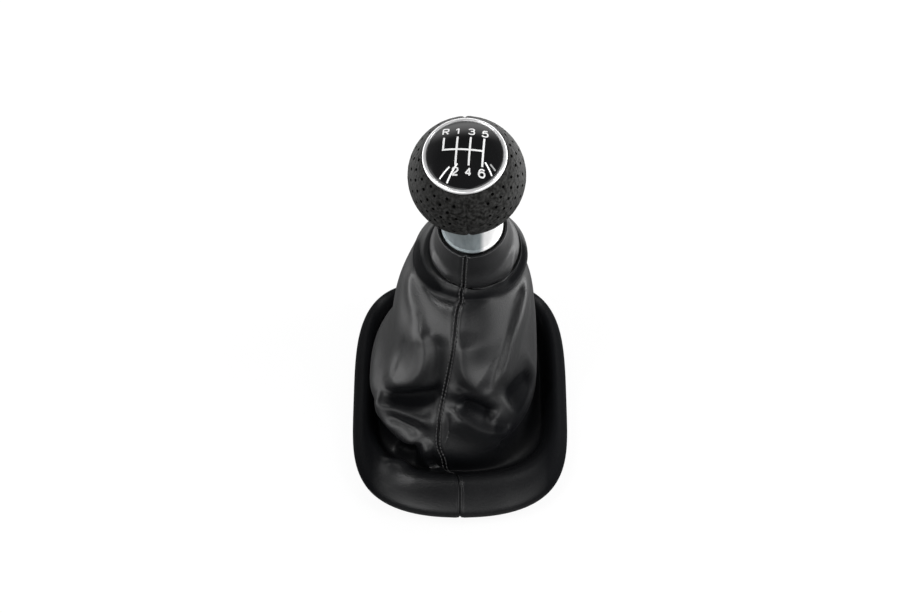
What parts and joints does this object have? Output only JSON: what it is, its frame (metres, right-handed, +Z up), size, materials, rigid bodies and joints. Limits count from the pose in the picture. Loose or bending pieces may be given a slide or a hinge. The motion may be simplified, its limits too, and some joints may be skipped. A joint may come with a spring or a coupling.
{
  "type": "gear shift knob with gaiter",
  "caption": "Round leather gear shift knob with a chrome-ringed pattern cap, satin collar and a sewn leather gaiter over a snap-in base frame.",
  "frame": {"origin": "under the middle of the base frame, level with the tips of its snap hooks", "axes": "+Z up through the knob, +Y away from the driver, +X to the driver's right"},
  "size_m": [0.105, 0.136, 0.1991],
  "materials": {
    "cap_black": "high gloss",
    "bezel_chrome": "polished",
    "core_plastic": "moulded",
    "knob_leather": "perforated, soft nap",
    "collar_aluminium": "satin turned",
    "socket_plastic": "moulded",
    "clamp_steel": "plain",
    "gaiter_leather": "fine grain, sewn",
    "frame_plastic": "moulded"
  },
  "bodies": {
    "base": {"base_frame": "frame_plastic"},
    "gaiter": {"gaiter_left_panel": "gaiter_leather", "gaiter_right_panel": "gaiter_leather"},
    "knob": {"pattern_cap": "cap_black", "bezel_ring": "bezel_chrome", "knob_core": "core_plastic", "knob_cover_left": "knob_leather", "knob_cover_right": "knob_leather", "neck_collar": "collar_aluminium", "lever_socket": "socket_plastic", "lever_clamp": "clamp_steel", "gaiter_tie": "socket_plastic"}
  },
  "joints": [
    {"name": "shift", "type": "hinge", "parent": "base", "child": "gaiter", "pos_m": [0.004, 0.01, -0.09], "axis": [1, 0, 0], "range_deg": [-9, 9], "stiffness_Nm_per_rad": 6, "deforming": ["gaiter_left_panel", "gaiter_right_panel"]},
    {"name": "gate_select", "type": "hinge", "parent": "gaiter", "child": "knob", "pos_m": [0.004, 0.01, -0.09], "axis": [0, 1, 0], "range_deg": [-9, 4.5], "stiffness_Nm_per_rad": 6, "deforming": ["gaiter_left_panel", "gaiter_right_panel"]}
  ]
}
